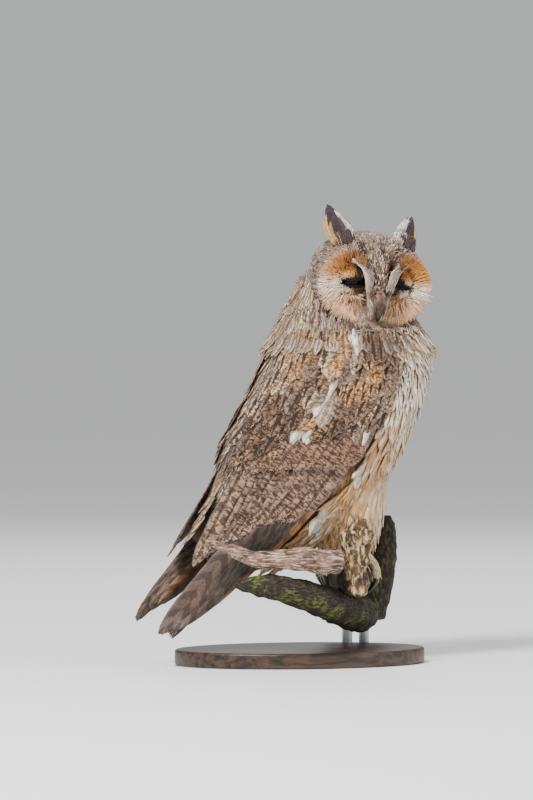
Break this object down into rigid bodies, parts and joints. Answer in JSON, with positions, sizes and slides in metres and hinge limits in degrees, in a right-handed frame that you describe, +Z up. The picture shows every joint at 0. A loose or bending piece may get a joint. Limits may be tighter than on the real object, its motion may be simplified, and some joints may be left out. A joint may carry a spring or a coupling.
{
  "type": "long-eared owl model",
  "caption": "Life-size long-eared owl, drowsy and upright on a short cut length of broken limb, head turned over its wing, held by a flat display base and short rods.",
  "frame": {"origin": "middle of the underside of the oval display base", "axes": "+X the way the owl's breast faces, +Y its left, +Z up; the head is turned to -Y"},
  "size_m": [0.2321, 0.1427, 0.3548],
  "materials": {
    "head_plumage": "short soft feathers, ochre disc and speckled crown",
    "body_plumage": "soft buff feathers with dark shaft streaks",
    "wing_plumage": "layered feathers, finely vermiculated grey-brown and buff",
    "tail_plumage": "stiff feathers, barred brown",
    "tuft": "dark feathers edged white and buff",
    "leg_plumage": "short downy feathers, plain buff",
    "horn": "smooth dark horn",
    "eye": "wet and glossy",
    "lid": "bare skin with fine bristles",
    "bark": "rough dark bark with moss",
    "weathered_wood": "bare weathered wood, split along the grain",
    "burr": "knotted scar wood with pale lichen",
    "moss": "dark bark under moss",
    "plinth": "dark stained wood, satin",
    "steel": "plain drawn rod"
  },
  "bodies": {
    "root": {"head": "head_plumage", "beak_upper": "horn", "beak_lower": "horn", "eye_right": "eye", "eye_left": "eye", "lid_right_upper": "lid", "lid_right_lower": "lid", "lid_left_upper": "lid", "lid_left_lower": "lid", "ear_tuft_right": "tuft", "ear_tuft_left": "tuft", "torso": "body_plumage", "neck": "body_plumage", "wing_right": "wing_plumage", "wing_left": "wing_plumage", "tail": "tail_plumage", "leg_right": "leg_plumage", "leg_left": "leg_plumage", "foot_right": "leg_plumage", "foot_left": "leg_plumage", "claw_right_inner": "horn", "claw_right_middle": "horn", "claw_right_outer": "horn", "claw_right_hind": "horn", "claw_left_inner": "horn", "claw_left_middle": "horn", "claw_left_outer": "horn", "claw_left_hind": "horn", "perch_trunk": "bark", "perch_limb": "bark", "perch_burr": "burr", "perch_mossy_limb": "moss", "perch_branch": "weathered_wood", "stand_base": "plinth", "stand_rod_front": "steel", "stand_rod_rear": "steel"}
  },
  "joints": []
}
